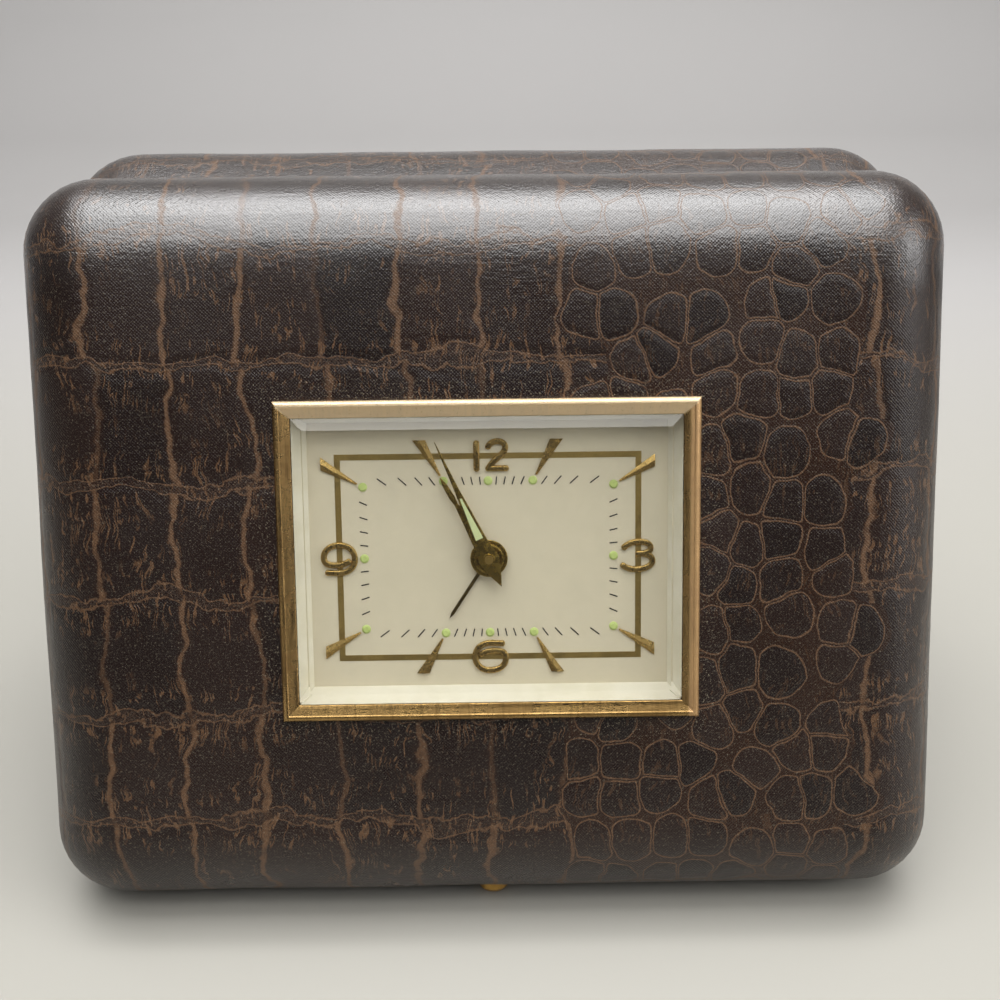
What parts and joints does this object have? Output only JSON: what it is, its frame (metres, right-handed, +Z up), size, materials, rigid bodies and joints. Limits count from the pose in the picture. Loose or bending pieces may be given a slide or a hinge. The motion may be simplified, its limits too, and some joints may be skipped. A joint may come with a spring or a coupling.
{
  "type": "travel clock",
  "caption": "Wind-up travel alarm clock in a folding leatherette case whose two shells open into a standing A-frame, with a framed rectangular dial, luminous hands and keys on the back.",
  "frame": {"origin": "on the table, under the middle of the standing case", "axes": "+Z up, the dial faces -Y and leans back, +X to the dial's right as it is read"},
  "size_m": [0.158, 0.1228, 0.1224],
  "materials": {
    "leatherette": "gloss",
    "lining": "matte",
    "gilt_metal": "satin",
    "nickel_steel": "satin",
    "spring_steel": "gloss",
    "crystal": "gloss",
    "dial": "satin",
    "surround": "matte",
    "print": "matte",
    "lume": "matte",
    "brass": "satin",
    "housing": "satin"
  },
  "bodies": {
    "front_case": {"front_shell": "leatherette", "front_lining": "lining", "front_panel": "lining", "hinge_leaf_front": "gilt_metal", "hinge_pin": "nickel_steel", "hinge_brads_front": "nickel_steel", "clasp_guide": "gilt_metal", "clasp_spring": "spring_steel", "bezel": "gilt_metal", "crystal": "crystal", "dial_surround": "surround", "dial": "dial", "hour_frame": "gilt_metal", "minute_track": "print", "hour_batons": "gilt_metal", "hour_numerals": "gilt_metal", "luminous_dots": "lume", "housing": "housing", "back_cover": "housing", "cover_screws": "nickel_steel", "movement_ring": "brass", "front_plate": "brass", "back_plate": "brass", "pillars": "brass", "ratchet_clicks": "nickel_steel"},
    "rear_case": {"rear_shell": "leatherette", "rear_lining": "lining", "hinge_leaf_rear": "gilt_metal", "hinge_brads_rear": "nickel_steel", "catch_hook": "gilt_metal"},
    "button": {"clasp_button": "gilt_metal"},
    "minute_works": {"centre_arbor": "brass", "minute_hand": "gilt_metal", "time_set_knob": "gilt_metal"},
    "minute_wheel": {"minute_wheel": "brass"},
    "hour_works": {"hour_wheel": "brass", "hour_hand": "gilt_metal"},
    "alarm_works": {"alarm_wheel": "brass", "alarm_hand": "gilt_metal"},
    "alarm_setting": {"alarm_set_arbor": "brass", "alarm_set_knob": "gilt_metal"},
    "time_winding": {"time_key": "gilt_metal", "time_ratchet": "nickel_steel"},
    "alarm_winding": {"alarm_key": "gilt_metal", "alarm_ratchet": "nickel_steel"},
    "time_drum": {"time_barrel": "brass", "time_mainspring": "spring_steel"},
    "centre_wheel": {"centre_wheel": "brass"},
    "third_wheel": {"third_wheel": "brass"},
    "fourth_wheel": {"fourth_wheel": "brass"},
    "escape_wheel": {"escape_wheel": "brass"},
    "fork": {"pallet_fork": "brass"},
    "balance": {"balance_wheel": "brass", "hairspring": "spring_steel"},
    "regulator": {"regulator_lever": "nickel_steel"},
    "alarm_drum": {"alarm_barrel": "brass", "alarm_mainspring": "spring_steel"},
    "strike_wheel": {"strike_wheel": "brass"},
    "hammer": {"alarm_hammer": "nickel_steel"},
    "stop": {"alarm_stop": "gilt_metal"}
  },
  "joints": [
    {"name": "case_hinge", "type": "hinge", "parent": "front_case", "child": "rear_case", "pos_m": [0, 0, 0.11665], "axis": [-1, 0, 0], "range_deg": [0, 40]},
    {"name": "button_press", "type": "slide", "parent": "front_case", "child": "button", "axis": [0, 0.342, 0.9397], "range_m": [0, 0.0012], "stiffness_N_per_m": 400, "springref_m": -0.001, "deforming": ["clasp_spring"]},
    {"name": "minute_turn", "type": "hinge", "parent": "front_case", "child": "minute_works", "pos_m": [0, -0.03282, 0.06155], "axis": [0, 0.9397, -0.342], "continuous": true},
    {"name": "minute_wheel_turn", "type": "hinge", "parent": "front_case", "child": "minute_wheel", "pos_m": [-0.00789, -0.03381, 0.05885], "axis": [0, 0.9397, -0.342], "continuous": true},
    {"name": "hour_turn", "type": "hinge", "parent": "front_case", "child": "hour_works", "pos_m": [0, -0.03282, 0.06155], "axis": [0, 0.9397, -0.342], "continuous": true},
    {"name": "alarm_setting_turn", "type": "hinge", "parent": "front_case", "child": "alarm_setting", "pos_m": [0.01081, -0.03148, 0.06525], "axis": [0, 0.9397, -0.342], "continuous": true},
    {"name": "alarm_hand_turn", "type": "hinge", "parent": "front_case", "child": "alarm_works", "pos_m": [0, -0.03282, 0.06155], "axis": [0, 0.9397, -0.342], "continuous": true},
    {"name": "time_winding_turn", "type": "hinge", "parent": "front_case", "child": "time_winding", "pos_m": [-0.01364, -0.03552, 0.05415], "axis": [0, 0.9397, -0.342], "continuous": true},
    {"name": "alarm_winding_turn", "type": "hinge", "parent": "front_case", "child": "alarm_winding", "pos_m": [0.0165, -0.03573, 0.05357], "axis": [0, 0.9397, -0.342], "continuous": true},
    {"name": "fourth_wheel_turn", "type": "hinge", "parent": "front_case", "child": "fourth_wheel", "pos_m": [0.0031, -0.02852, 0.07337], "axis": [0, 0.9397, -0.342], "continuous": true},
    {"name": "third_wheel_turn", "type": "hinge", "parent": "front_case", "child": "third_wheel", "pos_m": [-0.00456, -0.02948, 0.07075], "axis": [0, 0.9397, -0.342], "continuous": true},
    {"name": "centre_wheel_turn", "type": "hinge", "parent": "front_case", "child": "centre_wheel", "pos_m": [0, -0.03282, 0.06155], "axis": [0, 0.9397, -0.342], "continuous": true},
    {"name": "time_drum_turn", "type": "hinge", "parent": "front_case", "child": "time_drum", "pos_m": [-0.01364, -0.03552, 0.05415], "axis": [0, 0.9397, -0.342], "continuous": true},
    {"name": "escape_wheel_turn", "type": "hinge", "parent": "front_case", "child": "escape_wheel", "pos_m": [0.01034, -0.02831, 0.07397], "axis": [0, 0.9397, -0.342], "continuous": true},
    {"name": "fork_swing", "type": "hinge", "parent": "front_case", "child": "fork", "pos_m": [0.01608, -0.02858, 0.07321], "axis": [0, 0.9397, -0.342], "range_deg": [-6, 6]},
    {"name": "balance_swing", "type": "hinge", "parent": "front_case", "child": "balance", "pos_m": [0.0242, -0.02897, 0.07214], "axis": [0, 0.9397, -0.342], "range_deg": [-220, 220], "stiffness_Nm_per_rad": 0.000002},
    {"name": "regulator_turn", "type": "hinge", "parent": "front_case", "child": "regulator", "pos_m": [0.0242, -0.02897, 0.07214], "axis": [0, 0.9397, -0.342], "range_deg": [-20, 20]},
    {"name": "alarm_drum_turn", "type": "hinge", "parent": "front_case", "child": "alarm_drum", "pos_m": [0.0165, -0.03573, 0.05357], "axis": [0, 0.9397, -0.342], "continuous": true},
    {"name": "strike_wheel_turn", "type": "hinge", "parent": "front_case", "child": "strike_wheel", "pos_m": [0.00491, -0.03679, 0.05065], "axis": [0, 0.9397, -0.342], "continuous": true},
    {"name": "hammer_swing", "type": "hinge", "parent": "front_case", "child": "hammer", "pos_m": [0.00491, -0.03871, 0.04539], "axis": [0, 0.9397, -0.342], "range_deg": [-6, 6]},
    {"name": "alarm_stop_slide", "type": "slide", "parent": "front_case", "child": "stop", "axis": [1, 0, 0], "range_m": [0, 0.004]}
  ],
  "couplings": [
    {"joint": "minute_wheel_turn", "follows": "minute_turn", "ratio": -0.33333},
    {"joint": "hour_turn", "follows": "minute_turn", "ratio": 0.083333},
    {"joint": "alarm_hand_turn", "follows": "alarm_setting_turn", "ratio": -0.25},
    {"joint": "third_wheel_turn", "follows": "fourth_wheel_turn", "ratio": -0.13333},
    {"joint": "centre_wheel_turn", "follows": "fourth_wheel_turn", "ratio": 0.016667},
    {"joint": "time_drum_turn", "follows": "fourth_wheel_turn", "ratio": -0.0027778},
    {"joint": "escape_wheel_turn", "follows": "fourth_wheel_turn", "ratio": -10},
    {"joint": "strike_wheel_turn", "follows": "alarm_drum_turn", "ratio": -6.5}
  ]
}
